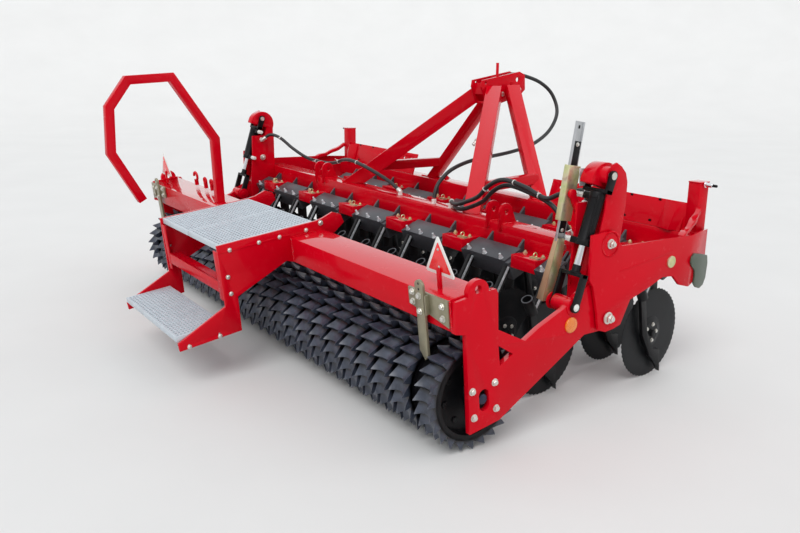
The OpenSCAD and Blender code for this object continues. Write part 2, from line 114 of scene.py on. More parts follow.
class Tree:
    def __init__(self, nodeTree):
        self.nodes = nodeTree.nodes
        self.links = nodeTree.links

    def add(self, kind, settings=None, inputs=(), out=0):
        node = self.nodes.new(kind)
        for key, value in (settings or {}).items():
            if key == "stops":
                ramp = node.color_ramp
                while len(ramp.elements) < len(value):
                    ramp.elements.new(1)
                for element, (place, colour) in zip(ramp.elements, value):
                    element.position = place
                    element.color = (*colour, 1)
            else:
                setattr(node, key, value)
        pairs = inputs.items() if isinstance(inputs, dict) else enumerate(inputs)
        for place, value in pairs:
            socket = node.inputs[place]
            if isinstance(value, Wire):
                self.links.new(value.socket, socket)
            elif value is not None:
                socket.default_value = value
        return Wire(self, node.outputs[out])

    def mix(self, share, a, b):
        pair = [value if isinstance(value, Wire) else (*value, 1) for value in (a, b)]
        return self.add("ShaderNodeMix", {"data_type": "RGBA"}, {0: share, 6: pair[0], 7: pair[1]}, 2)

    def place(self, stretch=None):
        spot = self.add("ShaderNodeTexCoord", out=3)
        if stretch:
            spot = self.add("ShaderNodeMapping", None, {"Vector": spot, "Scale": stretch})
        return spot

    def noise(self, scale, detail=3, rough=0.55, stretch=None):
        return self.add("ShaderNodeTexNoise", None, {"Vector": self.place(stretch), "Scale": scale,
                                                     "Detail": detail, "Roughness": rough})

    def spread(self, value, low, high, toLow=0.0, toHigh=1.0):
        return self.add("ShaderNodeMapRange", {"clamp": True}, [value, low, high, toLow, toHigh])

    def bump(self, height, strength, depth=0.001):
        return self.add("ShaderNodeBump", None, {"Height": height, "Strength": strength, "Distance": depth})


socketOf = {"roughness": "Roughness", "metallic": "Metallic", "coat": "Coat Weight", "coatIor": "Coat IOR",
            "coatRoughness": "Coat Roughness", "specular": "Specular IOR Level"}


def finish(name, recipe, **fixed):
    material = bpy.data.materials.new(name)
    material.use_nodes = True
    tree = Tree(material.node_tree)
    shader = material.node_tree.nodes["Principled BSDF"]
    for key, value in fixed.items():
        shader.inputs[socketOf[key]].default_value = value
    for key, wire in recipe(tree).items():
        tree.links.new(wire.socket, shader.inputs[key])
    return material


def clouded(dark, light, tint, rough, gloss=None, grain=None, bump=None):
    # A plain coat: clouds drive its colour, its gloss and its grain, and one left out is the cloud before it
    def recipe(t):
        colour = t.noise(*tint)
        sheen = t.noise(*gloss) if gloss else colour
        parts = {"Base Color": t.mix(colour, dark, light), "Roughness": rough[0] + sheen * rough[1]}
        if bump:
            parts["Normal"] = t.bump(t.noise(*grain) if grain else sheen, *bump)
        return parts
    return recipe


def redRecipe(t):
    drift = t.noise(3.0, 2)
    dust = t.spread(t.noise(26, 5, 0.65), 0.58, 0.84)
    colour = t.mix(drift, (0.56, 0.0, 0.008), (0.65, 0.001, 0.013))
    colour = t.mix(dust * 0.05, colour, (0.66, 0.30, 0.28))
    # Faces that look up keep a wet gloss
    lift = t.add("ShaderNodeSeparateXYZ", None, [t.add("ShaderNodeTexCoord", out=1)], 2)
    return {"Base Color": colour,
            "Coat Weight": t.spread(lift, 0.55, 0.92, 0.09, 1.0),
            "Roughness": 0.22 + dust * 0.14 + drift * 0.05,
            "Normal": t.bump(t.noise(170, 2), 0.10, 0.0006)}


def ringRecipe(t):
    # Long drawn lines along each lug and a dull bloom between them; the blue tint of these colours is a painted
    # reflection of the sky
    lines = t.noise(60, 4, 0.6, (9, 1, 1))
    bloom = t.spread(t.noise(18, 4), 0.35, 0.75)
    colour = t.mix(bloom, (0.020, 0.025, 0.040), (0.062, 0.073, 0.105))
    colour = t.mix(t.spread(lines, 0.55, 0.75) * 0.30, colour, (0.085, 0.096, 0.125))
    # Painted shade: black in the roots and under each lip; rubbed bright along the side edges
    ramp = t.add("ShaderNodeAttribute", {"attribute_name": "ramp"}, out=2)
    colour = t.mix(t.spread(ramp, 0.10, 0.52), (0.0015, 0.0015, 0.003), colour)
    colour = t.mix(t.spread(ramp, 1.02, 1.3) * 0.5, colour, (0.16, 0.17, 0.20))
    return {"Base Color": colour,
            "Roughness": 0.28 + lines * 0.20,
            "Normal": t.bump(lines, 0.25, 0.0008)}


def blackRecipe(t):
    grain = t.noise(90, 4)
    dust = t.spread(t.noise(14, 4), 0.5, 0.85)
    return {"Base Color": t.mix(dust * 0.16, (0.003, 0.003, 0.004), (0.050, 0.048, 0.045)),
            "Roughness": 0.34 + grain * 0.16 + dust * 0.15,
            "Normal": t.bump(grain, 0.12, 0.0006)}


def zincRecipe(t):
    stops = [(0.30, (0.47, 0.52, 0.27)), (0.46, (0.62, 0.62, 0.32)),
             (0.58, (0.66, 0.60, 0.40)), (0.72, (0.50, 0.36, 0.27))]
    return {"Base Color": t.add("ShaderNodeValToRGB", {"stops": stops}, [t.noise(22, 4, 0.6)]),
            "Roughness": 0.26 + t.noise(60, 4) * 0.22,
            "Normal": t.bump(t.noise(160, 3), 0.10, 0.0005)}


def galvanisedRecipe(t):
    spangle = t.add("ShaderNodeTexVoronoi", None, {"Vector": t.place(), "Scale": 95}, 1)
    shade = t.add("ShaderNodeSeparateColor", None, [spangle])
    return {"Base Color": t.mix(shade, (0.50, 0.53, 0.56), (0.74, 0.77, 0.79)),
            "Roughness": 0.34 + shade * 0.18,
            "Normal": t.bump(t.noise(120, 3), 0.12, 0.0005)}


def whiteRecipe(t):
    soiled = t.spread(t.noise(40, 4), 0.5, 0.8)
    return {"Base Color": t.mix(soiled * 0.35, (0.78, 0.78, 0.75), (0.50, 0.49, 0.45)),
            "Roughness": 0.36 + soiled * 0.2}


def discRecipe(t):
    swirl = t.noise(35, 4)
    dirt = t.spread(t.noise(16, 5, 0.7), 0.50, 0.80)
    colour = t.mix(swirl, (0.003, 0.003, 0.004), (0.009, 0.010, 0.012))
    return {"Base Color": t.mix(dirt * 0.14, colour, (0.070, 0.062, 0.052)),
            "Roughness": 0.30 + swirl * 0.14 + dirt * 0.2,
            "Normal": t.bump(t.noise(140, 3), 0.10, 0.0005)}


def celled(scale, edge, light, dark, strength, depth):
    # The fine cells of a reflector
    def recipe(t):
        cells = t.add("ShaderNodeTexVoronoi", None, {"Vector": t.place(), "Scale": scale})
        return {"Base Color": t.mix(t.spread(cells, 0, edge), light, dark),
                "Normal": t.bump(cells, strength, depth)}
    return recipe


# Each finish: the record's slot, the recipe, and what is the same all over
finishTable = {
    "redPaint": ("red_paint", redRecipe, {"coatRoughness": 0.04, "coatIor": 1.8, "specular": 0.05}),
    "castRing": ("black_steel", ringRecipe, {"specular": 0.55}),
    "blackPaint": ("black_steel", blackRecipe, {"specular": 0.22}),
    "greyPlate": ("grey_cover", clouded(
        (0.034, 0.036, 0.042), (0.070, 0.073, 0.082), (9, 3), (0.30, 0.15), gloss=(120, 3), bump=(0.10, 0.0006)),
        {"specular": 0.5}),
    "yellowZinc": ("zinc", zincRecipe, {"metallic": 0.75}),
    "galvanised": ("galvanised", galvanisedRecipe, {"metallic": 0.55}),
    "stayZinc": ("zinc", galvanisedRecipe, {"metallic": 0.3}),
    "bronzeZinc": ("zinc", clouded(
        (0.42, 0.26, 0.15), (0.60, 0.44, 0.27), (26, 4, 0.6), (0.26, 0.18), grain=(160, 3), bump=(0.10, 0.0005)),
        {"metallic": 0.7}),
    "oliveZinc": ("zinc", clouded(
        (0.19, 0.18, 0.12), (0.40, 0.36, 0.25), (24, 4, 0.6), (0.24, 0.2), grain=(150, 3), bump=(0.10, 0.0005)),
        {"metallic": 0.55}),
    "deckZinc": ("galvanised", clouded(
        (0.46, 0.52, 0.57), (0.64, 0.70, 0.75), (30, 4), (0.32, 0.2), grain=(150, 3), bump=(0.08, 0.0004)),
        {"metallic": 0.25}),
    # The hook plates' green tint is a painted reflection of grass on the zinc
    "hookZincGrassReflection": ("zinc", clouded(
        (0.060, 0.082, 0.058), (0.125, 0.150, 0.112), (24, 5, 0.65), (0.36, 0.2), grain=(130, 3),
        bump=(0.1, 0.0004)), {"metallic": 0.6}),
    "boltZinc": ("zinc", clouded((0.58, 0.56, 0.50), (0.82, 0.81, 0.77), (70, 3), (0.22, 0.22)), {"metallic": 0.9}),
    "chrome": ("chrome", clouded((0.78, 0.80, 0.83), (0.90, 0.91, 0.93), (300, 2, 0.5, (1, 1, 0.08)), (0.06, 0.08)),
               {"metallic": 1.0}),
    "aluminium": ("aluminium", clouded(
        (0.40, 0.41, 0.42), (0.58, 0.59, 0.60), (220, 4, 0.6, (1, 1, 0.05)), (0.30, 0.18), bump=(0.08, 0.0004)),
        {"metallic": 0.85}),
    "hoseRubber": ("black_rubber", clouded(
        (0.008, 0.008, 0.009), (0.020, 0.020, 0.021), (12, 3), (0.38, 0.16), gloss=(420, 2), bump=(0.14, 0.0005)),
        {}),
    "whiteNylon": ("white_plastic", whiteRecipe, {}),
    "discSteel": ("steel", discRecipe, {"specular": 0.2}),
    "amberLens": ("reflector", celled(330, 0.7, (0.90, 0.30, 0.01), (0.72, 0.14, 0.0), 0.5, 0.001),
                  {"roughness": 0.16, "coat": 0.8}),
    "redReflex": ("reflector", celled(190, 0.6, (0.95, 0.016, 0.014), (0.80, 0.008, 0.010), 0.3, 0.0008),
                  {"roughness": 0.22, "coat": 0.5}),
    "blueCap": ("steel", clouded(
        (0.003, 0.005, 0.022), (0.008, 0.014, 0.055), (30, 3), (0.25, 0.2), gloss=(80, 2)), {}),
}
finishes = {name: finish(name, recipe, **fixed) for name, (slot, recipe, fixed) in finishTable.items()}
print("finishes mixed:", len(finishes))


# A mesh becomes a piece: linked, painted, and tied to the body that it moves with
def piece(name, mesh, coat, body, *nodes):
    mesh.materials.clear()
    mesh.materials.append(finishes[coat])
    thing = linked(name, mesh)
    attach(thing, body)
    if nodes:
        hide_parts(*nodes)
    return thing


def meshFrom(bm, name, round=0.0, angle=32):
    # Sharp edges get a small round, and the rest is shaded smooth
    bmesh.ops.recalc_face_normals(bm, faces=bm.faces)
    if round:
        sharp = [e for e in bm.edges if e.is_manifold and e.calc_face_angle(0) > math.radians(angle)]
        bmesh.ops.bevel(bm, geom=sharp, offset=round / 1000, segments=2, profile=0.5, affect="EDGES",
                        clamp_overlap=True)
    mesh = bpy.data.meshes.new(name)
    bm.to_mesh(mesh)
    bm.free()
    mesh.shade_smooth()
    mesh.set_sharp_from_angle(angle=math.radians(angle))
    return mesh


def softened(node, coat, body, drawn=None, cut=None):
    # The CAD node's own shape with its flats made whole and its edges eased
    bm = bmesh.new()
    bm.from_mesh(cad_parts[node].data)
    bmesh.ops.remove_doubles(bm, verts=bm.verts, dist=0.00002)
    if cut:
        axis, limit = cut
        bmesh.ops.delete(bm, geom=[v for v in bm.verts if abs(v.co[axis]) > limit / 1000], context="VERTS")
        bmesh.ops.holes_fill(bm, edges=bm.edges)
    for (y, z), (newY, newZ) in (drawn or {}).items():
        for v in bm.verts:
            if math.dist((v.co.y * 1000 + middleY, v.co.z * 1000), (y, z)) < 5:
                v.co += Vector((0, newY - y, newZ - z)) / 1000
    bmesh.ops.dissolve_limit(bm, angle_limit=math.radians(0.5), verts=bm.verts, edges=bm.edges)
    words = node.split("_")
    name = words[0] + "".join(w.capitalize() for w in words[1:]) + "Skin"
    return piece(name, meshFrom(bm, name, 1.5), coat, body, node)


# What keeps the CAD node's shape: (body, finish): nodes
skinTable = {
    ("main_frame", "redPaint"): ["main_beams", "side_uprights", "hopper_plates", "headstock_struts",
                                 "headstock_braces", "apex_head", "lower_link_brackets", "beam_lugs", "hanger_boxes"],
    ("main_frame", "greyPlate"): ["torsion_housings"],
    ("main_frame", "blackPaint"): ["rear_coulter_arms", "front_coulter_arms", "seed_boots"],
    ("roller_frame", "redPaint"): ["roller_beam", "roller_arms", "platform_frame", "handrail"],
    ("roller_frame", "blackPaint"): ["roller_bearings"],
    ("gauge_sleeve", "yellowZinc"): ["gauge_sleeve"],
}
# Lower arch of the side plates: CAD (y, z) to the photo's
sideArch = {(716, 455): (716, 454), (817, 589): (826, 486), (905, 600): (906, 515), (985, 545): (972, 508),
            (1061, 477): (1018, 464), (1073, 473): (1073, 448), (1083, 470): (1083, 446)}


def skins():
    for (body, coat), nodes in skinTable.items():
        for node in nodes:
            softened(node, coat, body)
    softened("side_plates", "redPaint", "main_frame", drawn=sideArch)
    softened("corner_posts", "redPaint", "main_frame", cut=(2, 852.5))
    softened("foot_pins", "redPaint", "roller_frame", cut=(0, 1502))
    print("frame skinned")


# Shapes are drawn in machine millimetres and put in place by a mapping
class Shape:
    def __init__(self, to=at):
        self.bm = bmesh.new()
        self.to = to

    def loft(self, rings, closed=False):
        loops = [[self.bm.verts.new(self.to(*p)) for p in ring] for ring in rings]
        pairs = list(zip(loops, loops[1:])) + ([(loops[-1], loops[0])] if closed else [])
        for low, high in pairs:
            for k in range(len(low)):
                m = (k + 1) % len(low)
                self.bm.faces.new([low[k], low[m], high[m], high[k]])
        if not closed:
            self.bm.faces.new(loops[0][::-1])
            self.bm.faces.new(loops[-1])
        return self

    def prism(self, outline, low, high, axis=0):
        spread = [lambda p, h: (h, *p), lambda p, h: (p[0], h, p[1]), lambda p, h: (*p, h)][axis]
        return self.loft([[spread(p, h) for p in outline] for h in (low, high)])

    def box(self, low, high):
        return self.prism([(low[0], low[1]), (high[0], low[1]), (high[0], high[1]), (low[0], high[1])],
                          low[2], high[2], 2)

    def turned(self, centre, aim, profile, sides=24, closed=False):
        # Rings of a turned piece: each (distance along the aim, radius); a closed profile makes a hollow ring
        aim = Vector(aim).normalized()
        u = aim.cross(Vector((0, 0, 1)) if abs(aim.z) < 0.9 else Vector((1, 0, 0))).normalized()
        v = aim.cross(u)
        angles = [2 * math.pi * k / sides for k in range(sides)]
        return self.loft([[Vector(centre) + aim * h + (u * math.cos(a) + v * math.sin(a)) * r for a in angles]
                          for h, r in profile], closed)

    def pipe(self, route, radius, sides=12):
        rings, across = [], None
        angles = [2 * math.pi * k / sides for k in range(sides)]
        for k, p in enumerate(route):
            way = (route[min(k + 1, len(route) - 1)] - route[max(k - 1, 0)]).normalized()
            across = way.orthogonal() if across is None else across
            across = (across - way * across.dot(way)).normalized()
            over = way.cross(across)
            rings.append([p + (across * math.cos(a) + over * math.sin(a)) * radius for a in angles])
        return self.loft(rings)

    def mesh(self, name, round=0.0, angle=32):
        return meshFrom(self.bm, name, round, angle)

    def done(self, name, coat, body, *nodes, round=0.0, angle=32):
        return piece(name, self.mesh(name, round, angle), coat, body, *nodes)


def along(pin, foot):
    # Frame of a cylinder or the gauge: z runs up its axis from its top pin
    tilt = -math.atan2(pin[0] - foot[0], pin[1] - foot[1])
    c, s = math.cos(tilt), math.sin(tilt)
    return lambda x, y, z: at(x, pin[0] + y * c - z * s, pin[1] + y * s + z * c)


def smoothed(route, steps):
    # A smooth curve through the points of a route
    out = []
    for i in range(len(route) - 1):
        a, b, c, d = (Vector(route[max(0, min(len(route) - 1, k))]) for k in (i - 1, i, i + 1, i + 2))
        for j in range(steps):
            t = j / steps
            out.append((2 * b + (c - a) * t + (2 * a - 5 * b + 4 * c - d) * t * t
                        + (3 * b - a - 3 * c + d) * t ** 3) / 2)
    return out + [Vector(route[-1])]


# Geometry Nodes: one seed piece is put on every spot, turned and sized by the spot's own attributes
def growthTree():
    group = bpy.data.node_groups.new("grown", "GeometryNodeTree")
    sockets = [("Spots", "NodeSocketGeometry"), ("Seed piece", "NodeSocketObject"), ("Coat", "NodeSocketMaterial"),
               ("Loose turn", "NodeSocketFloat"), ("Seed", "NodeSocketInt")]
    for label, kind in sockets:
        group.interface.new_socket(label, in_out="INPUT", socket_type=kind)
    group.interface.new_socket("Pieces", in_out="OUTPUT", socket_type="NodeSocketGeometry")
    t = Tree(group)
    start = t.nodes.new("NodeGroupInput")
    spots, seedPiece, coat, loose, seed = (Wire(t, s) for s in start.outputs[:5])
    source = t.add("GeometryNodeObjectInfo", {"transform_space": "ORIGINAL"},
                   {"Object": seedPiece, "As Instance": True}, "Geometry")
    aim = t.add("GeometryNodeInputNamedAttribute", {"data_type": "FLOAT_VECTOR"}, {"Name": "aim"}, "Attribute")
    size = t.add("GeometryNodeInputNamedAttribute", {"data_type": "FLOAT"}, {"Name": "size"}, "Attribute")
    turn = t.nodes.new("FunctionNodeRandomValue")
    turn.data_type = "FLOAT"
    for socket, wire in zip([s for s in turn.inputs if s.enabled and s.name in ("Min", "Max", "Seed")],
                            (loose * -1.0, loose, seed)):
        t.links.new(wire.socket, socket)
    spin = t.add("ShaderNodeCombineXYZ", None, {"Z": Wire(t, next(s for s in turn.outputs if s.enabled))})
    put = t.add("GeometryNodeInstanceOnPoints", None,
                {"Points": spots, "Instance": source, "Rotation": t.add("FunctionNodeEulerToRotation", None, [aim]),
                 "Scale": size})
    turned = t.add("GeometryNodeRotateInstances", None, {"Instances": put, "Rotation": spin, "Local Space": True})
    real = t.add("GeometryNodeRealizeInstances", None, [turned])
    painted = t.add("GeometryNodeSetMaterial", None, {"Geometry": real, "Material": coat})
    end = t.nodes.new("NodeGroupOutput")
    t.links.new(painted.socket, end.inputs[0])
    return group


growth = growthTree()


def grown(name, seedMesh, spots, coat, body, *nodes, loose=0.0, seed=7):
    # Each spot is (place, rotation matrix, size)
    mesh = bpy.data.meshes.new(name + "Spots")
    mesh.from_pydata([tuple(s[0]) for s in spots], [], [])
    mesh.attributes.new("aim", "FLOAT_VECTOR", "POINT").data.foreach_set(
        "vector", [v for s in spots for v in s[1].to_euler()])
    mesh.attributes.new("size", "FLOAT", "POINT").data.foreach_set("value", [float(s[2]) for s in spots])
    carrier, source = linked(name + "Spots", mesh), linked(name + "Seed", seedMesh)
    modifier = carrier.modifiers.new("grown", "NODES")
    modifier.node_group = growth
    values = {"Seed piece": source, "Coat": finishes[coat], "Loose turn": loose, "Seed": seed}
    for item in growth.interface.items_tree:
        if item.item_type == "SOCKET" and item.in_out == "INPUT" and item.name in values:
            modifier[item.identifier] = values[item.name]
    bpy.context.view_layer.update()
    grownMesh = bpy.data.meshes.new_from_object(carrier.evaluated_get(bpy.context.evaluated_depsgraph_get()))
    carrier.modifiers.remove(modifier)
    for thing in (carrier, source):
        bpy.data.objects.remove(thing)
    return piece(name, grownMesh, coat, body, *nodes)


def aimed(direction):
    # Rotation that turns a seed's z to a direction
    return Vector(direction).to_track_quat("Z", "Y").to_matrix()


def local(x, y, z):
    return Vector((x, y, z)) / 1000


def onCircle(r, degrees, middle=(0, 0)):
    a = math.radians(degrees)
    return middle[0] + r * math.cos(a), middle[1] + r * math.sin(a)


def arc(r, degrees, middle=(0, 0)):
    return [onCircle(r, a, middle) for a in degrees]


side = {"Right": 1, "Left": -1}
rightward, leftward, upward, backward = (1, 0, 0), (-1, 0, 0), (0, 0, 1), (0, -1, 0)
leanTurn = Matrix.Rotation(frameLean, 3, "X")
leanBack = leanTurn @ Vector(backward)

# Pins seen from the side, as (y, z)
hingeAt = (588, 405)
cylTop, cylFoot, sleeveAt = (570, 946), (415, 475), (483, 873)
gaugeLength = math.dist(sleeveAt, cylFoot)
cylLength = math.dist(cylTop, cylFoot)

# Coulters: two ranks of twelve, the front rank ahead of the rear one, each turned a little with its disc
coulter = {"pitch": 116, "y": 550, "z": 200, "ahead": 523, "turn": 4, "housing": (568, 503), "housingTilt": 24}
rowTurn = math.radians(coulter["turn"])
housingTilt = math.radians(coulter["housingTilt"])
housingUp = (0, -math.sin(housingTilt), math.cos(housingTilt))


def housingAt(x, y, z, front):
    c, s = math.cos(housingTilt), math.sin(housingTilt)
    y0, z0 = coulter["housing"]
    return at(x, y0 + y * c - z * s + front * coulter["ahead"], z0 + y * s + z * c)


def atRow(x0, front):
    # Frame of one coulter: its origin is the disc centre, turned with the disc
    c, s = math.cos(rowTurn), math.sin(rowTurn)
    return lambda x, y, z: at(x0 + x * c - y * s, coulter["y"] + front * coulter["ahead"] + x * s + y * c,
                              coulter["z"] + z)


def spaced(first, step, count, sign=1):
    return [sign * (first - step * k) * coulter["pitch"] for k in range(count)]


# Places along the beams, in the rear rank and in the front one
rows = {False: spaced(10.5, 2, 12), True: spaced(11.5, 2, 12)}
pairs = {False: spaced(7.5, 4, 5), True: spaced(7.5, 4, 5, -1)}
singles = {False: spaced(10.5, 22, 2), True: spaced(10.5, 22, 2, -1)}
boxes = {False: spaced(9.5, 4, 6), True: spaced(9.5, 4, 6, -1)}


def each(places):
    return [(x, front) for front in (False, True) for x in places[front]]


# Seeds in their own millimetres, z out of the face that they sit on: each part is (profile, sides)
washer = ([(0, 12.5), (2.2, 12.5), (2.6, 12.0)], 24)
seedParts = {
    "hexBolt": [washer, ([(2.0, 9.6), (8.4, 9.6), (9.8, 8.3)], 6)],
    "nut": [washer, ([(2.0, 9.6), (9.0, 9.6), (10.4, 8.4)], 6), ([(9, 5.6), (14.2, 5.6), (15.2, 4.6)], 12)],
    "button": [([(0, 11.5), (2.0, 11.5), (2.4, 11.0)], 24),
               ([(2.0, 8.8), (4.4, 8.4), (6.4, 6.6), (7.2, 4.2), (5.0, 3.6)], 20)],
    "cone": [([(0, 11), (2.2, 11)], 20), ([(2, 9.2), (9, 9.2), (15, 5.6), (24, 5.4), (25, 4.6)], 12)],
}
platformSides = ((348, rightward), (-345, leftward))
platformSpots = [(y, 618) for y in (-387, -252, -154, -23)] + [(-413, 505), (-411, 430), (-490, 261), (-627, 256)]
bearingSpots = [(y, rollerR + z) for y in (-50.75, 50.75) for z in (-50.75, 50.75)]
bracketSpots = ((1262, -110, 590), (1262, -110, 554), (1428, -110, 578), (1428, -110, 534),
                (1319, -124, 592), (1319, -124, 536))
hingeSpots = ((1504, hingeAt, 1, 1.9), (1500, (578, 694), 1, 1.5), (1390, (566, 699), -1, 1.5))

# Bolts and nuts: (seed, finish, body, [(place, direction, size)])
boltTables = {
    "platformBolts": ("button", "boltZinc", "roller_frame", [
        (leaning(x, y, z), way, 0.85) for x, way in platformSides for y, z in platformSpots]),
    "tongueBolts": ("hexBolt", "boltZinc", "roller_frame", [
        (leaning(x, 52, 634), way, 1.0) for x, way in platformSides]),
    "bearingBolts": ("hexBolt", "boltZinc", "roller_frame", [
        (leaning(s * 1482, y, z), (s, 0, 0), 1.12) for s in side.values() for y, z in bearingSpots]),
    "bracketBolts": ("hexBolt", "boltZinc", "roller_frame", [
        (leaning(s * x, y, z), leanBack, 1.0) for s in side.values() for x, y, z in bracketSpots]),
    "hingeNuts": ("nut", "boltZinc", "main_frame", [
        (at(s * x, *spot), (s * way, 0, 0), size) for x, spot, way, size in hingeSpots for s in side.values()]),
    "housingNuts": ("cone", "stayZinc", "main_frame", [
        (housingAt(x + dx, -32, 50, f), housingUp, 0.95) for x, f in each(pairs) for dx in (-104, 0, 104)] + [
        (housingAt(x, -32, 50, f), housingUp, 0.95) for x, f in each(singles)]),
    "boxNuts": ("nut", "yellowZinc", "main_frame", [
        (at(x + dx, 584 + f * coulter["ahead"], 565), upward, 0.8) for x, f in each(boxes) for dx in (-52, 52)]),
    "apexBolts": ("hexBolt", "boltZinc", "main_frame", [
        (at(s * 46, y, 1150), (s, 0, 0), 1.1) for s in side.values() for y in (1245, 1330)]),
    "armNuts": ("nut", "boltZinc", "main_frame", [
        (atRow(x, f)(-34, 0, 0), leftward, 1.2) for x, f in each(rows)] + [
        (atRow(x, f)(-34, y, z), leftward, 0.8) for x, f in each(rows) for y, z in ((36, 190), (33, 240))]),
}


def boltSeed(name):
    s = Shape(local)
    for profile, sides in seedParts[name]:
        s.turned((0, 0, 0), upward, profile, sides)
    return s.mesh(name)


def nutsAndBolts():
    for name, (seed, coat, body, table) in boltTables.items():
        spots = [(place, aimed(way), size) for place, way, size in table]
        grown(name, boltSeed(seed), spots, coat, body, loose=1.2, seed=len(name))


# Roller: one hollow-faced lug, put round rings that are each turned by their own amount
ring = {"pitch": 118, "end": 1388, "width": 86, "root": 177, "foot": 165, "hollow": 25, "lugs": 24, "rings": 22}
# The lug's outline, up the ramp, over the lip and back: (angle, radius, share of the dip, brightness), where a low
# brightness is painted shade in the root and under the lip
lugOutline = [(-1.2, ring["foot"], 0, 0.0), (-1.2, ring["root"], 0, 0.0), (4.0, 185.5, 0.30, 0.46),
              (8.5, 197.0, 0.65, 0.80), (12.0, 208.2, 1.0, 1.0), (12.7, 209.8, 1.0, 1.0), (13.2, 208.0, 1.0, 0.9),
              (13.7, 190.0, 0.55, 0.1), (13.9, ring["foot"], 0, 0.0)]
# The drum's end, from its bore out to the rim: (distance from the middle, radius)
drumEnd = [(1389, 20), (1394, 20), (1394, 142), (1429, 150), (1430, 154), (1429, 158)]


def lugMesh():
    sections, shadeAndWear = [], []
    last = 8
    half = ring["width"] / 2
    for k in range(last + 1):
        x = -half + ring["width"] * k / last
        across = abs(x / half)
        dip = ring["hollow"] * (1 - across ** 2.2)
        section = []
        for angle, r, share, tint in lugOutline:
            worn = 0.8 if share == 1 and across > 0.9 else 0
            section.append((x, *onCircle(r - worn - dip * share, angle + share * dip * -0.05)))
            # Painted shade from the outline's brightness, raised where the lip's side edges are rubbed bright
            shadeAndWear.append(tint + (0.3 if tint >= 0.8 and k in (0, last) else 0))
        sections.append(section)
    mesh = Shape(local).loft(sections).mesh("lug", angle=28)
    # The ramp attribute carries the painted shade and the rubbed edges to the ring's colour
    mesh.attributes.new("ramp", "FLOAT", "POINT").data.foreach_set("value", shadeAndWear)
    return mesh


def roller():
    middles = [(k - 10.5) * ring["pitch"] for k in range(ring["rings"])]
    lugSpots = []
    for k, x in enumerate(middles + [ring["end"], -ring["end"]]):
        for j in range(ring["lugs"]):
            turn = math.radians(j * 360 / ring["lugs"] + k * 41 % 15)
            lugSpots.append((at(x, 0, rollerR), Matrix.Rotation(turn, 3, "X"), 1.0))
    grown("rollerLugs", lugMesh(), lugSpots, "castRing", "roller", "roller", seed=3)
    half = ring["width"] / 2
    profile = [(-x, r) for x, r in drumEnd]
    for x in [-ring["end"]] + middles + [ring["end"]]:
        profile += [(x - half, 150), (x - half, 172), (x - half + 3, 176), (x + half - 3, 176), (x + half, 172),
                    (x + half, 150)]
    drum = Shape().turned((0, 0, rollerR), rightward, profile + drumEnd[::-1], 72)
    for s in side.values():
        drum.turned((s * 1388, 0, rollerR), (s, 0, 0), [(0, 20), (82, 20), (84, 18)], 24)
        for y, z in arc(110, range(12, 372, 45), (0, rollerR)):
            drum.turned((s * 1393, y, z), (s, 0, 0), [(0, 12), (6, 12), (7, 10.5)], 6)
    drum.done("rollerDrum", "blackPaint", "roller")
    for name, s in side.items():
        Shape().turned((s * 1470, 0, rollerR), (s, 0, 0), [(0, 19), (5, 19), (8, 15), (9, 8)]).done(
            "hubCap" + name, "blueCap", "roller")
    print("roller grown:", len(lugSpots), "lugs")


# Discs: a fine-toothed edge as (x, radius, toothed), a pressed hub and pale bolts
disc = {"points": 104, "tooth": 4.5, "boltStep": 72, "boltRing": 38,
        "edge": [(-2, 168, 0), (-1.4, 190, 0), (-0.5, 199.6, 1), (0.5, 199.6, 1), (1.4, 190, 0), (2, 168, 0)],
        "hub": [(-14, 44), (-12, 49), (-2, 50), (2, 74), (3.4, 72), (6.6, 52), (8, 49), (8, 18), (11, 17), (12, 14)]}


def discs():
    count = disc["points"]
    s = Shape(local).loft([[(x, *onCircle(r - toothed * disc["tooth"] * (k % 2), 360 * k / count))
                            for k in range(count)] for x, r, toothed in disc["edge"]])
    s.turned((0, 0, 0), rightward, disc["hub"], 40)
    painted = len(s.bm.faces)
    for y, z in arc(disc["boltRing"], range(0, 360, disc["boltStep"])):
        s.turned((0, y, z), rightward, [(7, 9.6), (9, 9.6), (9, 7.2), (13.2, 7.0), (14, 5.8)], 10)
    mesh = s.mesh("disc", angle=24)
    coats = [0 if k < painted else 1 for k in range(len(mesh.polygons))]
    for rank, front in (("rear", False), ("front", True)):
        for k, x in enumerate(rows[front]):
            node = f"{rank}_disc_{k + 1:02d}"
            own = mesh.copy()
            own.transform(Matrix.Translation(atRow(x, front)(0, 0, 0)) @ Matrix.Rotation(rowTurn, 4, "Z")
                          @ Matrix.Rotation(k * 0.7, 4, "X"))
            thing = piece(f"{rank}Disc{k + 1:02d}", own, "discSteel", node, node)
            thing.data.materials.append(finishes["boltZinc"])
            thing.data.polygons.foreach_set("material_index", coats)
    print("discs cut:", len(each(rows)))


# Gratings: a folded band round rows of serrated openings, on decks of (x0, x1, y0, y1, z)
grating = {"across": 23.2, "deep": 15.6, "margin": 8, "fold": 25, "wall": 2.5,
           "decks": [(-331, -3, -430, 22, 647), (5, 334, -430, 22, 647), (-331, 334, -672, -455, 310)]}


def cellMesh():
    # One opening as loops of (half width, half depth, height); the loop without a height is the serrated lip
    across = [-1, -0.5, 0, 0.5, 1]
    edge = [(x, -1) for x in across] + [(1, 0)] + [(x, 1) for x in across[::-1]] + [(-1, 0)]
    loops = [(11.6, 7.8, -2.0), (11.6, 7.8, -1.0), (8.2, 4.6, None), (7.4, 3.8, -1.0), (7.4, 3.8, -6.0),
             (8.2, 4.6, -6.0)]
    return Shape(local).loft([[(x * w, y * d, (0.4 if k % 2 else -0.9) if h is None else h)
                               for k, (x, y) in enumerate(edge)] for w, d, h in loops], True).mesh("cell", angle=25)


